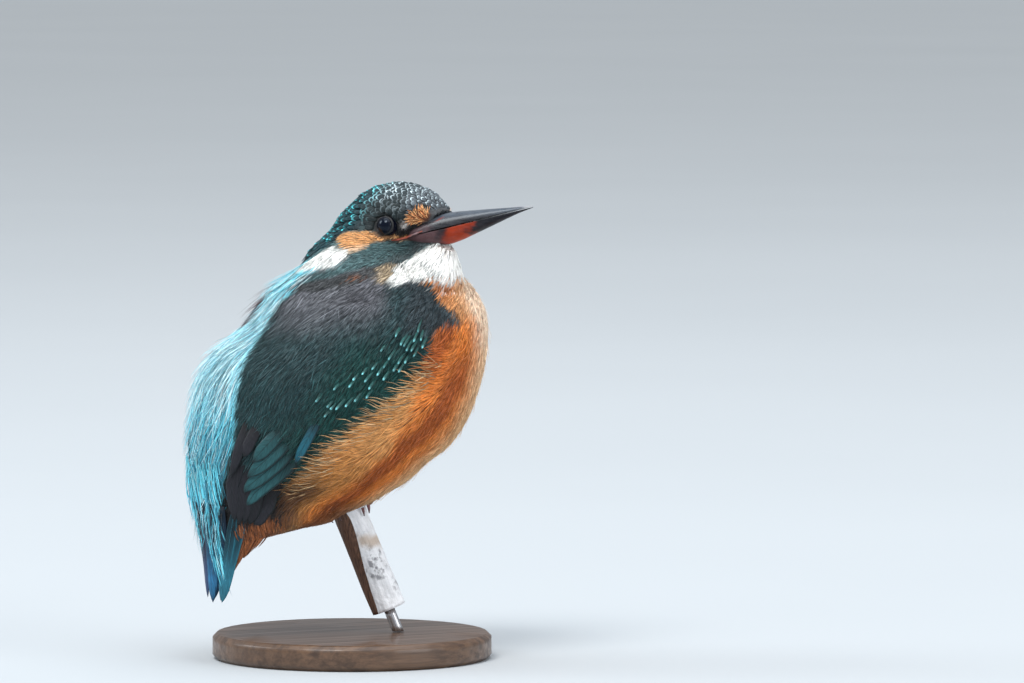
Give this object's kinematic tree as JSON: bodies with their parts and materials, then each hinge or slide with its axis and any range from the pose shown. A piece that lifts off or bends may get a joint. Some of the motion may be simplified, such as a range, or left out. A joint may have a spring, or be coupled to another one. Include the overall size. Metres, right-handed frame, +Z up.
{
  "type": "kingfisher",
  "caption": "Life-size common kingfisher, fluffed up with its head turned to its right, gripping a cut length of reed on a round display stand.",
  "frame": {"origin": "middle of the underside of the stand's base", "axes": "+Z up; the bird's body faces +X, its right side is -Y, and its mid-plane is Y = 0; the head is turned 70 degrees to the right"},
  "size_m": [0.085, 0.088, 0.13],
  "materials": {
    "plumage_body": "soft feathers, orange underparts and a bright blue back stripe",
    "plumage_neck": "soft feathers, white, orange and grey-green patches",
    "plumage_head": "dark teal feathers barred with pale turquoise",
    "plumage_wing": "deep green-teal feathers spotted with turquoise",
    "plumage_tail": "blue vanes with dark edges",
    "bill_dark": "horn, black with a grey-blue sheen",
    "bill_red": "horn, orange-red base and dark tip",
    "eye": "wet black",
    "foot_skin": "coral red scaled skin",
    "claw": "dark horn",
    "reed": "dry brown reed splashed white",
    "stand_base": "dark matt paint",
    "stand_rod": "brushed"
  },
  "bodies": {
    "root": {"trunk": "plumage_body", "neck": "plumage_neck", "head": "plumage_head", "wing_left": "plumage_wing", "wing_right": "plumage_wing", "tail": "plumage_tail", "bill_upper": "bill_dark", "bill_lower": "bill_red", "eye_left": "eye", "eye_right": "eye", "leg_left": "foot_skin", "leg_right": "foot_skin", "foot_left": "foot_skin", "foot_right": "foot_skin", "claw_left_inner": "claw", "claw_left_middle": "claw", "claw_left_outer": "claw", "claw_left_hind": "claw", "claw_right_inner": "claw", "claw_right_middle": "claw", "claw_right_outer": "claw", "claw_right_hind": "claw", "perch_reed": "reed", "stand_base": "stand_base", "stand_rod": "stand_rod"}
  },
  "joints": []
}
